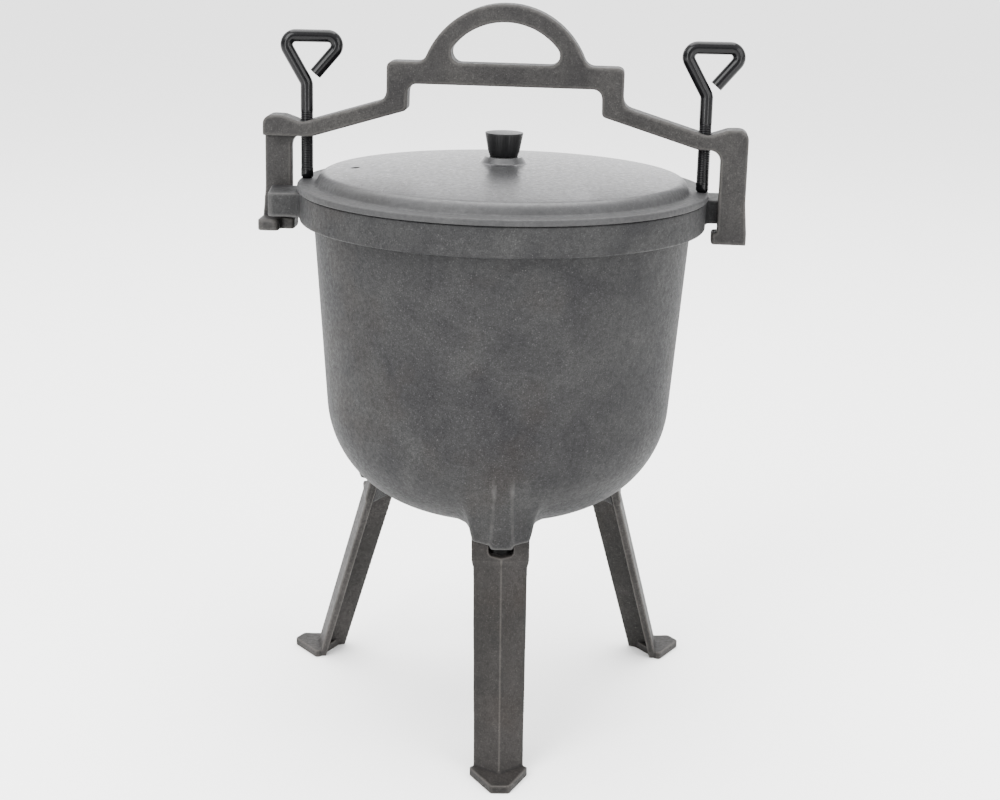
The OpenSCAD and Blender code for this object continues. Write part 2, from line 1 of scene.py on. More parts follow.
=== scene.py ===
# %% [markdown]
# # A cast-iron hunter's cauldron
# This lesson dresses the CAD model of a campfire cauldron: a round-bottomed pot on three
# plug-in legs, a domed lid, and a clamp bar with two screws. The CAD model gives every
# place and size in metres, with +Z up and the front leg towards -Y. Each casting is copied
# and gets softened edges, the screws are rebuilt with their threads, and every surface
# gets the finish of its real metal.

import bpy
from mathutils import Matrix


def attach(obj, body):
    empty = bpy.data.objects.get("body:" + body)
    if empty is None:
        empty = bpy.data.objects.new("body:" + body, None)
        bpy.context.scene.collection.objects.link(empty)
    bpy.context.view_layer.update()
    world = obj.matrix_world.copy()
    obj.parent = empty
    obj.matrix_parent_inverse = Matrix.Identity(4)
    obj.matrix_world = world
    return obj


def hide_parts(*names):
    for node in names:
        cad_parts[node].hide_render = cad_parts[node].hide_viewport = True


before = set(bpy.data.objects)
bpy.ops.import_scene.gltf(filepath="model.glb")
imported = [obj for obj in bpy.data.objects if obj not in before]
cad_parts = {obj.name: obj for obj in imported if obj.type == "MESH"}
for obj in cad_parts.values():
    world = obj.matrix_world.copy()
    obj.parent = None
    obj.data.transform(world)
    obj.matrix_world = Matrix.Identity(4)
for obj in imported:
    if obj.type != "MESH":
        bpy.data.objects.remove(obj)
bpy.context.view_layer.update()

# %% Modules and units
import math
import bmesh
import bpy
import numpy as np
from mathutils import Matrix, Vector

MM = 0.001
print("pieces in the frame:", ", ".join(sorted(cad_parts)))

# %% [markdown]
# ## The camera
# The photograph was taken from 1.35 m away with a lens of about 67 mm, from a little above
# the lid and looking down 15 degrees. A rotation matrix is the clearest way to set such a
# fitted view: its columns are the camera's right, up and back directions.

# %% Camera
view_yaw, view_pitch, view_roll = (math.radians(a) for a in (2.62, 15.33, -1.41))
ahead = Vector((math.sin(view_yaw) * math.cos(view_pitch),
                math.cos(view_yaw) * math.cos(view_pitch), -math.sin(view_pitch)))
level = Vector((math.cos(view_yaw), -math.sin(view_yaw), 0))
below = ahead.cross(level)
right = math.cos(view_roll) * level + math.sin(view_roll) * below
down = math.cos(view_roll) * below - math.sin(view_roll) * level
lens = bpy.data.cameras.new("studio_camera")
lens.lens = 67.1
lens.sensor_width = 36
camera = bpy.data.objects.new("studio_camera", lens)
camera.matrix_world = (Matrix.Translation(Vector((-60.2, -1351.9, 605.2)) * MM)
                       @ Matrix((right, -down, -ahead)).transposed().to_4x4())
bpy.context.scene.collection.objects.link(camera)
bpy.context.scene.camera = camera
print("camera at", [round(v, 3) for v in camera.location])

# %% [markdown]
# ## Colours and nodes
# Colours are easiest to read off as sRGB hex values, but shaders work in linear light, so
# one function converts them. One more function adds a node with its settings and links,
# which keeps every finish below short enough to read at a glance.

# %% Helpers for finishes
def linear(hex_colour):
    channels = [int(hex_colour[i:i + 2], 16) / 255 for i in (1, 3, 5)]
    return [c / 12.92 if c <= 0.04045 else ((c + 0.055) / 1.055) ** 2.4 for c in channels] + [1]


def add(tree, kind, settings=None, links=None):
    node = tree.nodes.new(kind)
    for name, value in (settings or {}).items():
        if isinstance(name, str) and hasattr(node, name):
            setattr(node, name, value)
        else:
            node.inputs[name].default_value = value
    for name, socket in (links or {}).items():
        tree.links.new(socket, node.inputs[name])
    return node


def new_finish(name, settings):
    finish = bpy.data.materials.new(name)
    finish.use_nodes = True
    finish.node_tree.nodes.clear()
    shader = add(finish.node_tree, "ShaderNodeBsdfPrincipled", settings)
    add(finish.node_tree, "ShaderNodeOutputMaterial", None, {"Surface": shader.outputs[0]})
    return finish, finish.node_tree, shader


print("white is", linear("#ffffff"))

# %% [markdown]
# ## The floor and the light
# The studio is a plain white floor under broad soft light. Cast iron mirrors its
# surroundings softly, so big area lights matter more than strong ones: one from the upper
# left, a weaker one from the right, and one overhead that brightens the lid.

# %% Floor
floor_mesh = bpy.data.meshes.new("studio_floor")
floor_mesh.from_pydata([(-30, -12, 0), (30, -12, 0), (30, 60, 0), (-30, 60, 0)], [], [(0, 1, 2, 3)])
floor = bpy.data.objects.new("studio_floor", floor_mesh)
bpy.context.scene.collection.objects.link(floor)
floor_finish, tree, shader = new_finish("white_paper", {"Roughness": 0.9, "IOR": 1.3})
fibre = add(tree, "ShaderNodeTexNoise", {"Scale": 900.0, "Detail": 2.0},
            {"Vector": add(tree, "ShaderNodeTexCoord").outputs["Object"]})
tint = add(tree, "ShaderNodeMix", {"data_type": "RGBA", 6: linear("#f4f4f3"), 7: linear("#fafaf9")},
           {0: fibre.outputs[0]})
tree.links.new(tint.outputs[2], shader.inputs["Base Color"])
floor_mesh.materials.append(floor_finish)
print("floor laid")

# %% Lights
def soft_light(name, place, aim, size, power):
    lamp = bpy.data.lights.new(name, "AREA")
    lamp.shape = "RECTANGLE"
    lamp.size, lamp.size_y = size
    lamp.energy = power
    holder = bpy.data.objects.new(name, lamp)
    holder.location = place
    holder.rotation_euler = (Vector(aim) - Vector(place)).to_track_quat("-Z", "Y").to_euler()
    holder.visible_camera = False
    bpy.context.scene.collection.objects.link(holder)
    return holder


soft_light("key_light", (-1.5, -1.7, 1.9), (0, 0, 0.25), (1.6, 1.6), 95)
soft_light("fill_light", (2.0, -1.4, 1.2), (0, 0, 0.25), (1.2, 1.6), 40)
soft_light("top_light", (0, 0.4, 2.6), (0, 0, 0.3), (2.4, 2.4), 150)
for side, watts in ((-1, 15), (1, 11)):
    soft_light("strip_light", (side * 0.9, -1.45, 0.5), (0, 0, 0.3), (0.28, 1.0), watts)
world = bpy.data.worlds.new("pale_studio")
world.use_nodes = True
sky = world.node_tree
sky.nodes["Background"].inputs["Color"].default_value = linear("#fbfbfc")
way = add(sky, "ShaderNodeSeparateXYZ", None, {0: add(sky, "ShaderNodeTexCoord").outputs["Generated"]})
glow = add(sky, "ShaderNodeMapRange", {1: 0.0, 2: 0.55, 3: 0.9, 4: 3.0}, {0: way.outputs["Z"]}).outputs[0]
behind = add(sky, "ShaderNodeMapRange", {1: 0.3, 2: 1.0, 4: 2.6}, {0: way.outputs["Y"]}).outputs[0]
low = add(sky, "ShaderNodeMapRange", {1: 0.1, 2: 0.6, 3: 1.0, 4: 0.0}, {0: way.outputs["Z"]}).outputs[0]
glow = add(sky, "ShaderNodeMath", {"operation": "MULTIPLY_ADD"}, {0: behind, 1: low, 2: glow}).outputs[0]
sky.links.new(glow, sky.nodes["Background"].inputs["Strength"])
bpy.context.scene.world = world
print("three soft lights and a pale room")

# %% [markdown]
# ## Seasoned sand-cast iron
# Iron cast in sand keeps the sand's grain: bumps half a millimetre across over broader
# waves. What the eye meets is not bare metal but the thin coat of oil baked on over it, so
# the finish is not metallic, dark, and dull like the oil. A coat this thin and rough gives
# back less light than a polished one, which is what the specular level is for. The oil is
# uneven: it runs a little brown where it is thick, and a few high grains shine through.
# Layers of noise at those real sizes make each of these, and the pot, the bar, the legs
# and the lid mix them in their own way. Convex edges are made lighter, partly as real wear
# and partly as a painted highlight, and hollows are made darker as painted shade; the
# attribute edge says where. A second attribute paints shade into the recess behind each
# leg's notch and darkens a boss the farther it stands off the bowl.

# %% Seasoned iron finish
GRAIN_MM, WAVE_MM, PATCH_MM = 0.9, 3.0, 46


def seasoned_iron(name, dark, light, oil, shine, rough, grain_depth, specular=0.12, metallic=0.0, speckle=0.38):
    finish, tree, shader = new_finish(name, {"Metallic": metallic, "Specular IOR Level": specular})
    place = add(tree, "ShaderNodeTexCoord").outputs["Object"]
    grain = add(tree, "ShaderNodeTexNoise", {"Scale": 1000 / GRAIN_MM, "Detail": 2.0, "Roughness": 0.65},
                {"Vector": place}).outputs[0]
    wave = add(tree, "ShaderNodeTexNoise", {"Scale": 1000 / WAVE_MM, "Detail": 3.0, "Roughness": 0.6},
               {"Vector": place}).outputs[0]
    patch = add(tree, "ShaderNodeTexNoise", {"Scale": 1000 / PATCH_MM, "Detail": 3.0, "Roughness": 0.55,
                                             "Distortion": 0.4}, {"Vector": place}).outputs[0]
    run = add(tree, "ShaderNodeTexNoise", {"Scale": 1000 / PATCH_MM / 1.9, "Detail": 4.0, "Roughness": 0.6,
                                           "noise_dimensions": "4D", "W": 3.7}, {"Vector": place}).outputs[0]
    shade = add(tree, "ShaderNodeMapRange", {1: 0.36, 2: 0.66}, {0: patch}).outputs[0]
    body = add(tree, "ShaderNodeMix", {"data_type": "RGBA", 6: linear(dark), 7: linear(light)},
               {0: shade}).outputs[2]
    oiled = add(tree, "ShaderNodeMapRange", {1: 0.54, 2: 0.7, 4: 0.75}, {0: run}).outputs[0]
    body = add(tree, "ShaderNodeMix", {"data_type": "RGBA", 7: linear(oil)}, {0: oiled, 6: body}).outputs[2]
    mottle = add(tree, "ShaderNodeMapRange", {1: 0.3, 2: 0.7, 3: 0.82, 4: 1.18}, {0: wave}).outputs[0]
    body = add(tree, "ShaderNodeVectorMath", {"operation": "SCALE"}, {0: body, "Scale": mottle}).outputs[0]
    speck = add(tree, "ShaderNodeMapRange", {1: 0.3, 2: 0.7, 3: 1 - speckle, 4: 1 + speckle}, {0: grain}).outputs[0]
    body = add(tree, "ShaderNodeVectorMath", {"operation": "SCALE"}, {0: body, "Scale": speck}).outputs[0]
    high = add(tree, "ShaderNodeMapRange", {1: 0.64, 2: 0.76, 4: 0.5}, {0: grain}).outputs[0]
    body = add(tree, "ShaderNodeMix", {"data_type": "RGBA", 7: linear(shine)}, {0: high, 6: body}).outputs[2]
    # Convex edges are mixed towards the lighter colour, partly real wear and partly a painted highlight; concave
    # creases are darkened as painted shade.
    edge = add(tree, "ShaderNodeAttribute", {"attribute_name": "edge"}).outputs["Fac"]
    edge_wear_and_highlight = add(tree, "ShaderNodeMapRange", {1: 0.15, 2: 1.0, 4: 0.3}, {0: edge}).outputs[0]
    body = add(tree, "ShaderNodeMix", {"data_type": "RGBA", 7: linear(shine)}, {0: edge_wear_and_highlight, 6: body}).outputs[2]
    crease_shade = add(tree, "ShaderNodeMapRange", {1: -1.0, 2: -0.1, 3: 0.4, 4: 1.0}, {0: edge}).outputs[0]
    body = add(tree, "ShaderNodeVectorMath", {"operation": "SCALE"}, {0: body, "Scale": crease_shade}).outputs[0]
    # Painted shade in the recess behind each leg's notch, and a darkening of the bosses away from the bowl, read from a
    # point attribute.
    shade_and_darkening = add(tree, "ShaderNodeAttribute", {"attribute_name": "shade_and_darkening"}).outputs["Fac"]
    darkening_scale = add(tree, "ShaderNodeMapRange", {3: 1.0, 4: 0.12}, {0: shade_and_darkening}).outputs[0]
    body = add(tree, "ShaderNodeVectorMath", {"operation": "SCALE"}, {0: body, "Scale": darkening_scale}).outputs[0]
    tree.links.new(body, shader.inputs["Base Color"])
    sheen = add(tree, "ShaderNodeMapRange", {1: 0.3, 2: 0.7, 3: rough + 0.09, 4: rough - 0.07},
                {0: wave}).outputs[0]
    tree.links.new(sheen, shader.inputs["Roughness"])
    relief = add(tree, "ShaderNodeMath", {"operation": "MULTIPLY_ADD", 1: 0.45}, {0: grain, 2: wave}).outputs[0]
    bump = add(tree, "ShaderNodeBump", {"Strength": 0.7, "Distance": grain_depth * MM}, {"Height": relief})
    tree.links.new(bump.outputs[0], shader.inputs["Normal"])
    return finish


pot_iron = seasoned_iron("seasoned_cast_iron", "#19191a", "#252525", "#1f1c1a", "#565554", 0.6, 0.28)
bar_iron = seasoned_iron("handled_cast_iron", "#1d1c1c", "#292827", "#211d1a", "#4e4c4a", 0.52, 0.4)
leg_iron = seasoned_iron("leg_cast_iron", "#171615", "#211f1e", "#1e1a17", "#504d4a", 0.58, 0.4)
# A lighter copy of the leg iron for the two rear legs: painted light, where they stand in the pot's shade.
rear_leg_iron_painted_light = seasoned_iron("rear_leg_cast_iron_painted_light", "#21201f", "#2e2c2b", "#2a2622", "#5a5754", 0.58, 0.4)
lid_iron = seasoned_iron("smooth_cast_iron", "#242425", "#2d2d2e", "#252423", "#6c6c6d", 0.33, 0.08, 0.5, 0.2, 0.15)


# Painted shade on the lid's step and flange: the colour darkens from inner_mm out to outer_mm, and the roughness rises
# there too.
def paint_rim_shade(finish, inner_mm, outer_mm, share):
    tree = finish.node_tree
    colour = next(node for node in tree.nodes if node.type == "BSDF_PRINCIPLED").inputs["Base Color"]
    place = add(tree, "ShaderNodeTexCoord").outputs["Object"]
    flat = add(tree, "ShaderNodeVectorMath", {"operation": "MULTIPLY", 1: (1, 1, 0)}, {0: place}).outputs[0]
    reach = add(tree, "ShaderNodeVectorMath", {"operation": "LENGTH"}, {0: flat}).outputs["Value"]
    shade = add(tree, "ShaderNodeMapRange", {1: inner_mm * MM, 2: outer_mm * MM, 3: 1.0, 4: share}, {0: reach}).outputs[0]
    body = add(tree, "ShaderNodeVectorMath", {"operation": "SCALE"},
               {0: colour.links[0].from_socket, "Scale": shade}).outputs[0]
    tree.links.new(body, colour)
    gloss = colour.node.inputs["Roughness"]
    dull = add(tree, "ShaderNodeMapRange", {1: 1.0, 2: share, 4: 0.3}, {0: shade}).outputs[0]
    dull = add(tree, "ShaderNodeMath", {"operation": "ADD"}, {0: gloss.links[0].from_socket, 1: dull}).outputs[0]
    tree.links.new(dull, gloss)


# The lid's step and flange get painted shade.
paint_rim_shade(lid_iron, 128.0, 136.0, 0.5)
print("five irons")

# %% [markdown]
# ## The small metals and the knob
# The clamp screws are steel wire dipped in thin black lacquer, so they stay as smooth as
# the wire came off the roll. The knob is moulded in black thermoset plastic. Under the lid a zinc-plated screw and washer hold a
# brass bush that is moulded into the knob.

# %% Wire, plastic, zinc and brass finishes
def plain_finish(name, colour, metallic, rough, spread, scale_mm, depth, specular=0.5):
    finish, tree, shader = new_finish(name, {"Metallic": metallic, "Specular IOR Level": specular})
    place = add(tree, "ShaderNodeTexCoord").outputs["Object"]
    cloud = add(tree, "ShaderNodeTexNoise", {"Scale": 1000 / scale_mm, "Detail": 4.0}, {"Vector": place}).outputs[0]
    tone = add(tree, "ShaderNodeMapRange", {1: 0.3, 2: 0.7, 3: 1 - spread, 4: 1 + spread}, {0: cloud}).outputs[0]
    body = add(tree, "ShaderNodeVectorMath", {"operation": "SCALE", 0: linear(colour)[:3]},
               {"Scale": tone}).outputs[0]
    tree.links.new(body, shader.inputs["Base Color"])
    sheen = add(tree, "ShaderNodeMapRange", {1: 0.3, 2: 0.7, 3: rough * 0.8, 4: rough * 1.2}, {0: cloud}).outputs[0]
    tree.links.new(sheen, shader.inputs["Roughness"])
    bump = add(tree, "ShaderNodeBump", {"Strength": 0.5, "Distance": depth * MM}, {"Height": cloud})
    tree.links.new(bump.outputs[0], shader.inputs["Normal"])
    return finish


wire_black = plain_finish("black_lacquered_wire", "#060607", 0.0, 0.16, 0.25, 1.4, 0.03, 0.16)
knob_black = plain_finish("thermoset_plastic", "#0a0a0b", 0.0, 0.42, 0.2, 1.1, 0.05, 0.2)
zinc_plate = plain_finish("zinc_plated_steel", "#b9bcc0", 1.0, 0.3, 0.1, 0.9, 0.03)
turned_brass = plain_finish("turned_brass", "#c9a25a", 1.0, 0.28, 0.1, 0.7, 0.03)
print("four small finishes")

# %% [markdown]
# ## Softening a casting
# No edge of a sand casting is sharp: the moulder rounds the pattern so that it leaves the
# sand cleanly. The CAD mesh of each casting is copied and its doubled points are merged. A
# voxel remesh then gives it an even skin of small squares, and a few rounds of smoothing
# pull in its corners and fill its hollows, as paint and sand do. Each vertex moves towards
# the mean of its neighbours by its own weight, so that one part can be rounded more than
# another.

# %% Copies, even skins and smoothing
EDGE_DIP_MM = 0.05


def merged_copy(name, node):
    shape = bmesh.new()
    shape.from_mesh(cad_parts[node].data)
    bmesh.ops.remove_doubles(shape, verts=shape.verts, dist=0.002 * MM)
    mesh = bpy.data.meshes.new(name)
    shape.to_mesh(mesh)
    shape.free()
    piece = bpy.data.objects.new(name, mesh)
    bpy.context.scene.collection.objects.link(piece)
    return piece


def even_skin(name, node, square_mm, block=None):
    piece = merged_copy(name, node)
    if block:
        low, high = (Vector(corner) * MM for corner in block)
        shape = bmesh.new()
        bmesh.ops.create_cube(shape, size=1.0, matrix=Matrix.Translation((low + high) / 2)
                              @ Matrix.Diagonal((*(high - low), 1)))
        cutter_mesh = bpy.data.meshes.new(name + "_block")
        shape.to_mesh(cutter_mesh)
        shape.free()
        cutter = bpy.data.objects.new(name + "_block", cutter_mesh)
        bpy.context.scene.collection.objects.link(cutter)
        cut = piece.modifiers.new("block", "BOOLEAN")
        cut.operation, cut.object, cut.solver = "INTERSECT", cutter, "EXACT"
    skin = piece.modifiers.new("even skin", "REMESH")
    skin.mode, skin.voxel_size = "VOXEL", square_mm * MM
    mesh = bpy.data.meshes.new_from_object(piece.evaluated_get(bpy.context.evaluated_depsgraph_get()))
    piece.modifiers.clear()
    if block:
        bpy.data.objects.remove(cutter)
    mesh.name = name
    piece.data = mesh
    return piece


def points_of(mesh):
    points = np.empty(len(mesh.vertices) * 3)
    mesh.vertices.foreach_get("co", points)
    return points.reshape(-1, 3)


def smoothed(mesh, points, weights, rounds):
    edges = np.empty(len(mesh.edges) * 2, dtype=np.int32)
    mesh.edges.foreach_get("vertices", edges)
    one, two = edges[::2], edges[1::2]
    count = np.bincount(one, minlength=len(points)) + np.bincount(two, minlength=len(points))
    for _ in range(rounds):
        mean = np.stack([(np.bincount(one, points[two, i], len(points)) + np.bincount(two, points[one, i], len(points)))
                         / count for i in range(3)], axis=1)
        points = points + np.reshape(weights, (-1, 1)) * (mean - points)
    return points


def mark(mesh, name, values):
    layer = mesh.attributes.new(name, "FLOAT", "POINT")
    layer.data.foreach_set("value", np.ascontiguousarray(values, dtype=np.float32))


def edges_of(mesh, points):
    normals = np.empty(len(points) * 3, dtype=np.float32)
    mesh.vertex_normals.foreach_get("vector", normals)
    offset = smoothed(mesh, points, np.ones(len(points)), 1) - points
    bend = -(offset * normals.reshape(-1, 3)).sum(axis=1) / (EDGE_DIP_MM * MM)
    bend = smoothed(mesh, np.repeat(bend[:, None], 3, axis=1), np.full(len(points), 0.5), 2)[:, 0]
    return np.clip(bend, -1, 1)


def settle(piece, points, finish, body, node):
    mesh = piece.data
    mesh.vertices.foreach_set("co", points.ravel())
    mesh.update()
    mark(mesh, "edge", edges_of(mesh, points))
    mesh.shade_smooth()
    mesh.materials.clear()
    mesh.materials.append(finish)
    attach(piece, body)
    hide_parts(node)
    print(piece.name, len(mesh.polygons), "faces")
    return piece


def sand_casting(name, node, finish, body, square_mm, rounds=5):
    piece = even_skin(name, node, square_mm)
    points = points_of(piece.data)
    return settle(piece, smoothed(piece.data, points, np.full(len(points), 0.5), rounds), finish, body, node)


# %% [markdown]
# ## Rounded edges on turned and moulded pieces
# The knob and its fastening are turned or moulded, so their edges are crisper. A Bevel
# modifier rounds each edge that bends more than 30 degrees.

# %% Bevelled copies
def crisp_copy(name, node, finish, radius_mm, body, steps=3):
    piece = merged_copy(name, node)
    mesh = piece.data
    shape = bmesh.new()
    shape.from_mesh(mesh)
    bmesh.ops.dissolve_limit(shape, angle_limit=math.radians(0.4), verts=shape.verts, edges=shape.edges)
    shape.to_mesh(mesh)
    shape.free()
    mesh.shade_smooth()
    mesh.materials.clear()
    mesh.materials.append(finish)
    edge = piece.modifiers.new("rounded edges", "BEVEL")
    edge.width, edge.segments = radius_mm * MM, steps
    edge.limit_method, edge.angle_limit = "ANGLE", math.radians(30)
    edge.use_clamp_overlap, edge.harden_normals = False, True
    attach(piece, body)
    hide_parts(node)
    print(name, len(mesh.polygons), "faces before its edges are rounded")
    return piece


# %% [markdown]
# ## The bowl
# The bowl and its band are one body of revolution. Its outline runs up the outside from the
# bottom: a shallow dome, the belly's arc, the tapered wall, and the band with its rounded
# edges. Then it comes down the inside, one wall thickness in. Every figure is in
# millimetres and is the CAD model's own.

# %% Turned shapes
def divided(line, longest=4.0):
    points = [line[0]]
    for start, end in zip(line, line[1:]):
        count = math.ceil(math.dist(start, end) / longest)
        points += [(start[0] + (end[0] - start[0]) * i / count, start[1] + (end[1] - start[1]) * i / count)
                   for i in range(1, count + 1)]
    return points


def turned_shape(name, outline, finish, body, node, sides=288):
    outline = divided(outline)
    shape = bmesh.new()
    rings = [[shape.verts.new((u * MM * math.cos(2 * math.pi * i / sides),
                               u * MM * math.sin(2 * math.pi * i / sides), z * MM)) for i in range(sides)]
             for u, z in outline[1:-1]]
    for lower, upper in zip(rings, rings[1:]):
        for i in range(sides):
            j = (i + 1) % sides
            shape.faces.new((lower[i], lower[j], upper[j], upper[i]))
    for ring, end in ((rings[0], outline[0]), (rings[-1], outline[-1])):
        middle = shape.verts.new((0, 0, end[1] * MM))
        for i in range(sides):
            shape.faces.new((middle, ring[i], ring[(i + 1) % sides]))
    bmesh.ops.recalc_face_normals(shape, faces=shape.faces)
    mesh = bpy.data.meshes.new(name)
    shape.to_mesh(mesh)
    shape.free()
    mesh.shade_smooth()
    mesh.materials.append(finish)
    piece = bpy.data.objects.new(name, mesh)
    bpy.context.scene.collection.objects.link(piece)
    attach(piece, body)
    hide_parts(node)
    print(name, len(mesh.polygons), "faces")
    return piece


# %% Outline of the bowl
RIM_TOP, RIM_R, BAND_Z, RIM_ROUND = 392.2, 148.0, 370.7, 1.6
WALL_R, DRAFT, WALL = 137.2, math.radians(4), 5.5
BELLY_Z, BELLY_R, BOTTOM_R = 240.2, 82.4, 286.6
BELLY_U = WALL_R - (BAND_Z - BELLY_Z) * math.tan(DRAFT) - BELLY_R / math.cos(DRAFT)
BOTTOM_Z = BELLY_Z + math.sqrt((BOTTOM_R - BELLY_R) ** 2 - BELLY_U ** 2)
BELLY_END = math.atan2(BOTTOM_Z - BELLY_Z, BELLY_U)


def arc(centre, radius, start, end, steps):
    return [(centre[0] + radius * math.cos(start + (end - start) * i / steps),
             centre[1] + radius * math.sin(start + (end - start) * i / steps)) for i in range(steps + 1)]


def skin_of_bowl(inset):
    bottom = arc((0, BOTTOM_Z), BOTTOM_R - inset, -math.pi / 2, -BELLY_END, 16)
    belly = arc((BELLY_U, BELLY_Z), BELLY_R - inset, -BELLY_END, -DRAFT, 40)
    return bottom[:-1] + belly


mouth_r = WALL_R + (RIM_TOP - BAND_Z) * math.tan(DRAFT) - WALL / math.cos(DRAFT)
corner, quarter = RIM_ROUND, math.pi / 2
outline = skin_of_bowl(0)
outline += arc((WALL_R + 2.2, BAND_Z - 2.0), 2.0, math.pi - DRAFT, quarter, 6)
outline += arc((RIM_R - corner, BAND_Z + corner), corner, -quarter, 0, 6)
outline += arc((RIM_R - corner, RIM_TOP - corner), corner, 0, quarter, 6)
outline += arc((mouth_r + 1.0, RIM_TOP - 1.0), 1.0, quarter, 2 * quarter - DRAFT, 5)
outline += skin_of_bowl(WALL)[::-1]
print("outline of", len(outline), "points, mouth radius", round(mouth_r, 2))

# %% Bowl
bowl = turned_shape("pot_bowl", outline, pot_iron, "pot_and_legs", "pot")

# %% [markdown]
# ## Leg bosses and lugs
# Each boss and lug grows out of the bowl with a fillet. A block round it is cut out of the
# CAD pot and gets an even skin. For a boss, the true shape is known as a distance: a point
# is so far from the bowl, and so far from the flats of the boss. The lesser of the two is
# the distance to both together, and where they are alike, taking off a little more makes a
# fillet. Each vertex then steps to where that distance is zero. Last the skin is drawn in
# by a tenth of a millimetre, so that it dips under the bowl's surface all round, and what
# lies inside the wall is left out.

# %% Distances to the bowl and to a boss
SEAT_Z, BOSS_FRONT, BOSS_BACK, BOSS_FLAT, BOSS_LEAN = 160.0, 117.6, 83.5, 8.5, math.radians(3)
VEE, BOSS_FOOT, BOSS_WIDE, BOSS_FLARE = math.radians(51.7), 20.6, 23.0, 12.0


def above_bowl(u, z):
    on_wall = (u - WALL_R) * math.cos(DRAFT) - (z - BAND_Z) * math.sin(DRAFT)
    on_belly = np.hypot(u - BELLY_U, z - BELLY_Z) - BELLY_R
    on_bottom = np.hypot(u, z - BOTTOM_Z) - BOTTOM_R
    turn = np.arctan2(BELLY_Z - z, u - BELLY_U)
    return np.where(turn < DRAFT, on_wall, np.where(turn > BELLY_END, on_bottom, on_belly))


def greater(one, two, soft):
    return np.maximum(one, two) + soft / 4 * np.clip(1 - np.abs(one - two) / soft, 0, 1) ** 2


def off_boss(x, y, z):
    y = y + 8 * ramp(z, 196, 224) ** 2
    half = BOSS_FOOT + (BOSS_WIDE - BOSS_FOOT) * np.sin(np.clip((z - SEAT_Z) / BOSS_FLARE, 0, 1) * math.pi / 2)
    slope = np.abs(x) * math.cos(VEE) + (y - BOSS_FRONT - BOSS_FLAT / math.tan(VEE)) * math.sin(VEE)
    front = (y - BOSS_FRONT) * math.cos(BOSS_LEAN) - (z - SEAT_Z) * math.sin(BOSS_LEAN)
    section = greater(greater(front, slope, 0.9), np.abs(x) - half, 3.0)
    return np.maximum(np.maximum(section, BOSS_BACK - y), SEAT_Z - z)


def off_casting(place):
    x, y, z = place.T
    return -greater(-above_bowl(np.hypot(x, y), z), -off_boss(x, y, z), 13.0)


def ramp(values, zero_at, one_at):
    return np.clip((values - zero_at) / (one_at - zero_at), 0, 1)


def drop_points(mesh, hidden):
    shape = bmesh.new()
    shape.from_mesh(mesh)
    bmesh.ops.delete(shape, geom=[v for v in shape.verts if hidden[v.index]], context="VERTS")
    shape.to_mesh(mesh)
    shape.free()


print("a point under the middle is", round(float(above_bowl(np.array([0.0]), np.array([100.0]))[0]), 1), "mm off the bowl")

# %% Bosses
for name, turn in (("front", 0), ("rear_right", 120), ("rear_left", 240)):
    spin = np.array(Matrix.Rotation(math.radians(turn + 180), 3, "Z"))
    corners = np.array([(x, y, 0) for x in (-44, 44) for y in (54, 140)]) @ spin.T
    block = ((*corners.min(axis=0)[:2], 120), (*corners.max(axis=0)[:2], 236))
    boss = even_skin("pot_boss_" + name, "pot", 0.8, block)
    place = points_of(boss.data) / MM @ spin
    height = above_bowl(np.hypot(place[:, 0], place[:, 1]), place[:, 2])
    hidden = (height < -1.2) | (np.abs(place[:, 0]) > 40) | (place[:, 1] < 58) | (place[:, 2] > 230)
    place = smoothed(boss.data, place, 0.5 * ramp(place[:, 2], 160.6, 159.6), 4)
    trust = ramp(place[:, 2], 159.6, 160.4)[:, None]
    for _ in range(5):
        gap = off_casting(place)
        slope = np.stack([(off_casting(place + 0.02 * axis) - gap) / 0.02 for axis in np.eye(3)], axis=1)
        step = gap[:, None] * slope / np.maximum((slope ** 2).sum(axis=1), 0.2)[:, None]
        place = place - trust * np.clip(step, -0.8, 0.8)
    place = smoothed(boss.data, place, np.full(len(place), 0.4), 1)
    place = place - 0.12 * np.array((0, 0.8, -0.6))
    settle(boss, place @ spin.T * MM, pot_iron, "pot_and_legs", "pot")
    # Painted shade: the recess behind the leg's notch is darkened, as it lies in shadow. The boss is also darkened more
    # the farther it stands off the bowl.
    recess = ramp(place[:, 2], 159.5, 158.5) * ramp(place[:, 1], 113.5, 112.0)
    mark(boss.data, "shade_and_darkening", np.maximum(recess, 0.2 * ramp(height, 1.0, 9.0)))
    drop_points(boss.data, hidden)

# %% Lugs
for name, side in (("right", 1), ("left", -1)):
    block = ((min(side * 120, side * 175), -34, 362), (max(side * 120, side * 175), 34, 396))
    lug = even_skin("pot_lug_" + name, "pot", 0.8, block)
    points = points_of(lug.data)
    out = np.hypot(points[:, 0], points[:, 1]) / MM - RIM_R
    points = smoothed(lug.data, points, 0.5 * (1 - ramp(out, 1.5, 4.0)), 10)
    points = smoothed(lug.data, points, np.full(len(points), 0.5), 5)
    hidden = (np.hypot(points[:, 0], points[:, 1]) < 0.1462) | (np.abs(points[:, 1]) > 0.031)
    points[:, 0] -= side * 0.12 * MM
    middle = (RIM_TOP + BAND_Z) / 2 * MM
    points[:, 2] = middle + (points[:, 2] - middle) * 0.988
    settle(lug, points, pot_iron, "pot_and_legs", "pot")
    drop_points(lug.data, hidden)

# %% [markdown]
# ## The legs
# Each leg is an angle of iron on a foot plate, with a thicker collar at its top. All three
# come out of one pattern, so one loop makes them.

# %% Legs
for node in ("leg_front", "leg_rear_right", "leg_rear_left"):
    # The rear legs take the lighter copy of the leg iron, which is painted light.
    finish = leg_iron if node == "leg_front" else rear_leg_iron_painted_light
    sand_casting(node + "_casting", node, finish, "pot_and_legs", 0.65, 3)

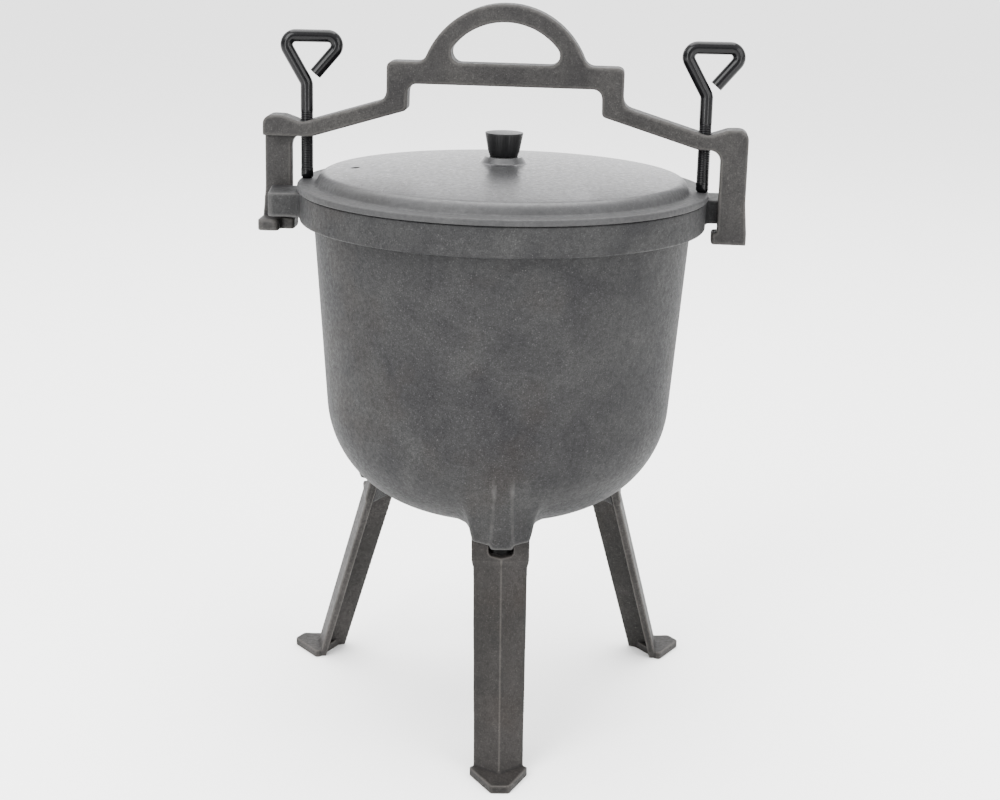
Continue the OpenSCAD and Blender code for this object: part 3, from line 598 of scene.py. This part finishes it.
# %% [markdown]
# ## The lid
# The lid is a body of revolution too: a flat flange that lies on the rim, a step with a
# well-rounded shoulder, and a shallow dome with a boss for the knob. It is ground a little,
# so it is smoother and lighter than the pot. Its outline is a line of corners, and each
# corner has its own radius. A cylinder is cut out of it for the steam hole.

# %% Outline with rounded corners
def rounded_line(corners):
    line = []
    for i, (u, z, radius) in enumerate(corners):
        here = Vector((u, z))
        if not radius:
            line.append((u, z))
            continue
        back = (Vector(corners[i - 1][:2]) - here).normalized()
        onward = (Vector(corners[i + 1][:2]) - here).normalized()
        half = back.angle(onward) / 2
        centre = here + (back + onward).normalized() * radius / math.sin(half)
        start, end = (here + way * radius / math.tan(half) - centre for way in (back, onward))
        turn = math.atan2(start.x * end.y - start.y * end.x, start.dot(end))
        first = math.atan2(start.y, start.x)
        line += arc(centre, radius, first, first + turn, max(2, round(abs(turn) / math.radians(8))))
    return line


LID_Z, FLANGE_Z, FLANGE_R, STEP_R, STEP_Z, DOME_R, DOME_Z = 392.5, 397.0, 149.5, 136.0, 404.8, 132.5, 413.3
DOME_SPHERE = (DOME_R ** 2 + (DOME_Z - STEP_Z) ** 2) / (2 * (DOME_Z - STEP_Z))
print("the dome is part of a sphere of", round(DOME_SPHERE / 1000, 2), "m radius")


def dome(u, inset=0.0):
    return DOME_Z - DOME_SPHERE + math.sqrt((DOME_SPHERE - inset) ** 2 - u * u)


# %% Lid
lid_line = [(0, 418.0, 0), (13.5, 418.0, 0.7), (16.8, dome(16.8), 3.0)]
lid_line += [(u, dome(u), 0) for u in range(24, 121, 8)]
lid_line += [(DOME_R, STEP_Z, 8.0), (STEP_R, FLANGE_Z, 2.6), (FLANGE_R, FLANGE_Z, 1.4), (FLANGE_R, LID_Z, 0.8),
             (131.7, LID_Z, 0.5), (131.7, 386.5, 0.8), (126.7, 386.5, 0.8), (126.7, dome(126.7, 4.5), 2.0)]
lid_line += [(u, dome(u, 4.5), 0) for u in range(120, 15, -8)] + [(9.0, dome(9.0, 4.5), 0), (9.0, 407.8, 0), (0, 407.8, 0)]
lid = turned_shape("lid_casting", rounded_line(lid_line), lid_iron, "lid", "lid")
drill_shape = bmesh.new()
bmesh.ops.create_cone(drill_shape, cap_ends=True, segments=48, radius1=3.4 * MM, radius2=3.4 * MM, depth=40 * MM,
                      matrix=Matrix.Translation(Vector((-107.4, 0, 400)) * MM))
drill_mesh = bpy.data.meshes.new("steam_drill")
drill_shape.to_mesh(drill_mesh)
drill_shape.free()
drill = bpy.data.objects.new("steam_drill", drill_mesh)
bpy.context.scene.collection.objects.link(drill)
hole = lid.modifiers.new("steam hole", "BOOLEAN")
hole.operation, hole.object, hole.solver = "DIFFERENCE", drill, "EXACT"
drilled = bpy.data.meshes.new_from_object(lid.evaluated_get(bpy.context.evaluated_depsgraph_get()))
lid.modifiers.clear()
bpy.data.objects.remove(drill)
lid.data = drilled
lid.data.set_sharp_from_angle(angle=math.radians(40))
print("the drilled lid has", len(drilled.polygons), "faces")

# %% [markdown]
# ## The clamp bar
# Years of hands polish the handle, but the edges stay as round as the pattern made them.

# %% Clamp bar
SCREW_FEET = {"left": (-143.423, 17.61), "right": (143.423, -17.61)}
ROD_R, BORE_PLAY, BORE_RIM = 4.6, 0.15, 5.8
bar = even_skin("clamp_bar_casting", "clamp_bar", 0.85)
points = points_of(bar.data)
points = smoothed(bar.data, points, np.full(len(points), 0.5), 4)
for foot in SCREW_FEET.values():
    axis = np.array(foot) * MM
    away = points[:, :2] - axis
    reach = np.hypot(*away.T) / MM
    wide = np.interp(reach, (4.18, BORE_RIM), (ROD_R + BORE_PLAY, BORE_RIM))
    grow = np.where(reach < BORE_RIM, wide / np.maximum(reach, 0.1), 1.0)
    points[:, :2] = axis + away * grow[:, None]
settle(bar, points, bar_iron, "bar", "clamp_bar")

# %% [markdown]
# ## The knob and its fastening
# The knob's top has a crisp moulded edge. Under the lid sit the washer and the screw.

# %% Knob, bush, washer and screw
crisp_copy("knob_moulding", "knob", knob_black, 0.5, "lid")
crisp_copy("knob_bush_turned", "knob_bush", turned_brass, 0.15, "lid", 2)
crisp_copy("knob_washer_stamped", "knob_washer", zinc_plate, 0.2, "lid", 2)
crisp_copy("knob_screw_turned", "knob_screw", zinc_plate, 0.3, "lid", 2)

# %% [markdown]
# ## The clamp screws
# Each screw is one length of 8.2 mm wire: a threaded stem that stands on the lid, a bend,
# and a triangular loop for two fingers. A path in the loop's plane says where the wire
# runs, and a Geometry Nodes tree sweeps the wire along it and cuts the thread: a point's
# way along the path and its place round the section together say how deep the groove is
# there. The same tree makes both screws.

# %% Path of one screw's wire
TIP_Z, BEND_Z, BEND_R = 397.0, 466.3, 9.0
LOOP_R, LOOP_Z, LOOP_LEFT, LOOP_RIGHT, END_U, END_Z = 6.5, 493.4, 7.9, 15.2, 6.2, 473.0
THREAD_FROM, THREAD_TO, PITCH, DEPTH, RING_DEPTH = 6.4, 50.0, 1.25, 0.3, 0.1


def wire_path():
    rise = LOOP_Z - BEND_Z
    lean = math.acos(rise / math.hypot(LOOP_LEFT, rise)) + math.asin(LOOP_R / math.hypot(LOOP_LEFT, rise))
    slack = BEND_R * math.tan(lean / 2)
    up = math.sqrt(LOOP_LEFT ** 2 + rise ** 2 - LOOP_R ** 2)
    end = (LOOP_RIGHT - END_U, LOOP_Z - END_Z)
    down = math.sqrt(end[0] ** 2 + end[1] ** 2 - LOOP_R ** 2)
    close = math.pi / 2 + math.atan2(*end) + math.asin(LOOP_R / math.hypot(*end))
    stem = BEND_Z - TIP_Z - slack
    points, radii, spot, heading = [], [], Vector((0, 0)), 0.0
    for z, r in ((0.0, ROD_R - 1.5), (1.5, ROD_R), (4.0, ROD_R), (4.02, ROD_R - RING_DEPTH), (5.4, ROD_R - RING_DEPTH), (5.42, ROD_R)):
        points.append(Vector((0, z)))
        radii.append(r)
    steps = int((THREAD_TO - THREAD_FROM) / (PITCH / 12))
    for i in range(steps + 1):
        points.append(Vector((0, THREAD_FROM + (THREAD_TO - THREAD_FROM) * i / steps)))
        radii.append(ROD_R)
    spot = Vector((0, stem))
    for kind, size, turn in (("bend", BEND_R, -lean), ("run", up - slack, 0), ("bend", LOOP_R, math.pi / 2 + lean),
                             ("run", LOOP_LEFT + LOOP_RIGHT, 0), ("bend", LOOP_R, close), ("run", down, 0)):
        if kind == "run":
            points += [spot.copy()]
            spot = spot + size * Vector((math.sin(heading), math.cos(heading)))
            points += [spot.copy()]
        else:
            side = 1 if turn > 0 else -1
            centre = spot + side * size * Vector((math.cos(heading), -math.sin(heading)))
            count = max(4, int(abs(turn) / math.radians(7)))
            for i in range(1, count):
                angle = heading + turn * i / count
                points.append(centre - side * size * Vector((math.cos(angle), -math.sin(angle))))
            heading += turn
            spot = centre - side * size * Vector((math.cos(heading), -math.sin(heading)))
        radii += [ROD_R] * (len(points) - len(radii))
    kept, kept_radii = [points[0]], [radii[0]]
    for point, radius in zip(points[1:], radii[1:]):
        if (point - kept[-1]).length > 0.015:
            kept.append(point)
            kept_radii.append(radius)
    return kept, kept_radii


path, path_radii = wire_path()
print("wire path of", len(path), "points, ends at", [round(v, 1) for v in path[-1]])

# %% Nodes that sweep and thread the wire
def thread_tree():
    tree = bpy.data.node_groups.new("threaded_wire", "GeometryNodeTree")
    tree.interface.new_socket("Geometry", in_out="INPUT", socket_type="NodeSocketGeometry")
    for name in ("Pitch", "Groove depth", "Thread start", "Thread end"):
        tree.interface.new_socket(name, in_out="INPUT", socket_type="NodeSocketFloat")
    tree.interface.new_socket("Finish", in_out="INPUT", socket_type="NodeSocketMaterial")
    tree.interface.new_socket("Geometry", in_out="OUTPUT", socket_type="NodeSocketGeometry")
    given = add(tree, "NodeGroupInput").outputs
    length = add(tree, "GeometryNodeSplineParameter").outputs["Length"]
    along = add(tree, "GeometryNodeStoreNamedAttribute", {"data_type": "FLOAT", "domain": "POINT", "Name": "along"},
                {"Geometry": given["Geometry"], "Value": length})
    ring = add(tree, "GeometryNodeCurvePrimitiveCircle", {"Resolution": 36, "Radius": 1.0})
    factor = add(tree, "GeometryNodeSplineParameter").outputs["Factor"]
    around = add(tree, "GeometryNodeStoreNamedAttribute", {"data_type": "FLOAT", "domain": "POINT", "Name": "around"},
                 {"Geometry": ring.outputs[0], "Value": factor})
    wire = add(tree, "GeometryNodeCurveToMesh", {"Fill Caps": True},
               {"Curve": along.outputs[0], "Profile Curve": around.outputs[0],
                "Scale": add(tree, "GeometryNodeInputRadius").outputs[0]})
    way = add(tree, "GeometryNodeInputNamedAttribute", {"data_type": "FLOAT", "Name": "along"}).outputs[0]
    turn = add(tree, "GeometryNodeInputNamedAttribute", {"data_type": "FLOAT", "Name": "around"}).outputs[0]
    turns = add(tree, "ShaderNodeMath", {"operation": "DIVIDE"}, {0: way, 1: given["Pitch"]}).outputs[0]
    phase = add(tree, "ShaderNodeMath", {"operation": "SUBTRACT"}, {0: turns, 1: turn}).outputs[0]
    wave = add(tree, "ShaderNodeMath", {"operation": "PINGPONG", 1: 0.5}, {0: phase}).outputs[0]
    groove = add(tree, "ShaderNodeMapRange", {1: 0.06, 2: 0.42, 3: 0.0, 4: 1.0}, {0: wave}).outputs[0]
    start = add(tree, "ShaderNodeMath", {"operation": "ADD", 1: PITCH * MM}, {0: given["Thread start"]}).outputs[0]
    finish = add(tree, "ShaderNodeMath", {"operation": "SUBTRACT", 1: 2 * PITCH * MM}, {0: given["Thread end"]}).outputs[0]
    rise = add(tree, "ShaderNodeMapRange", None, {0: way, 1: given["Thread start"], 2: start}).outputs[0]
    fall = add(tree, "ShaderNodeMapRange", {3: 1.0, 4: 0.0}, {0: way, 1: finish, 2: given["Thread end"]}).outputs[0]
    inside = add(tree, "ShaderNodeMath", {"operation": "MULTIPLY"}, {0: rise, 1: fall}).outputs[0]
    cut = add(tree, "ShaderNodeMath", {"operation": "MULTIPLY"}, {0: groove, 1: inside}).outputs[0]
    depth = add(tree, "ShaderNodeMath", {"operation": "MULTIPLY"}, {0: cut, 1: given["Groove depth"]}).outputs[0]
    inward = add(tree, "ShaderNodeMath", {"operation": "MULTIPLY", 1: -1.0}, {0: depth}).outputs[0]
    normal = add(tree, "GeometryNodeInputNormal").outputs[0]
    flat = add(tree, "ShaderNodeVectorMath", {"operation": "MULTIPLY", 1: (1, 1, 0)}, {0: normal}).outputs[0]
    out = add(tree, "ShaderNodeVectorMath", {"operation": "NORMALIZE"}, {0: flat}).outputs[0]
    step = add(tree, "ShaderNodeVectorMath", {"operation": "SCALE"}, {0: out, "Scale": inward}).outputs[0]
    cut_wire = add(tree, "GeometryNodeSetPosition", None, {"Geometry": wire.outputs[0], "Offset": step})
    real = add(tree, "GeometryNodeRealizeInstances", None, {"Geometry": cut_wire.outputs[0]})
    black = add(tree, "GeometryNodeSetMaterial", None, {"Geometry": real.outputs[0], "Material": given["Finish"]})
    add(tree, "NodeGroupOutput", None, {"Geometry": black.outputs[0]})
    return tree


threaded_wire = thread_tree()
print("wire tree with", len(threaded_wire.nodes), "nodes")

# %% Both clamp screws
def clamp_screw(name, node, foot, body):
    curve = bpy.data.curves.new(name, "CURVE")
    curve.dimensions = "3D"
    line = curve.splines.new("POLY")
    line.points.add(len(path) - 1)
    for knot, (u, z), radius in zip(line.points, path, path_radii):
        knot.co = ((foot[0] + u) * MM, foot[1] * MM, (TIP_Z + z) * MM, 1)
        knot.radius = radius * MM
    guide = bpy.data.objects.new(name + "_guide", curve)
    bpy.context.scene.collection.objects.link(guide)
    sweep = guide.modifiers.new("threaded wire", "NODES")
    sweep.node_group = threaded_wire
    values = {"Pitch": PITCH * MM, "Groove depth": DEPTH * MM, "Thread start": THREAD_FROM * MM,
              "Thread end": THREAD_TO * MM, "Finish": wire_black}
    for socket in threaded_wire.interface.items_tree:
        if socket.in_out == "INPUT" and socket.name in values:
            sweep[socket.identifier] = values[socket.name]
    done = bpy.data.meshes.new_from_object(guide.evaluated_get(bpy.context.evaluated_depsgraph_get()))
    bpy.data.objects.remove(guide)
    shape = bmesh.new()
    shape.from_mesh(done)
    bmesh.ops.remove_doubles(shape, verts=shape.verts, dist=0.001 * MM)
    bmesh.ops.recalc_face_normals(shape, faces=shape.faces)
    shape.to_mesh(done)
    shape.free()
    done.name = name
    done.shade_smooth()
    done.set_sharp_from_angle(angle=math.radians(50))
    piece = bpy.data.objects.new(name, done)
    bpy.context.scene.collection.objects.link(piece)
    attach(piece, body)
    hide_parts(node)
    print(name, len(done.polygons), "faces, volume check", round(sum(p.area for p in done.polygons) * 1e4, 1), "cm2")
    return piece


for side, foot in SCREW_FEET.items():
    clamp_screw("clamp_screw_" + side + "_wire", "clamp_screw_" + side, foot, side + "_screw")
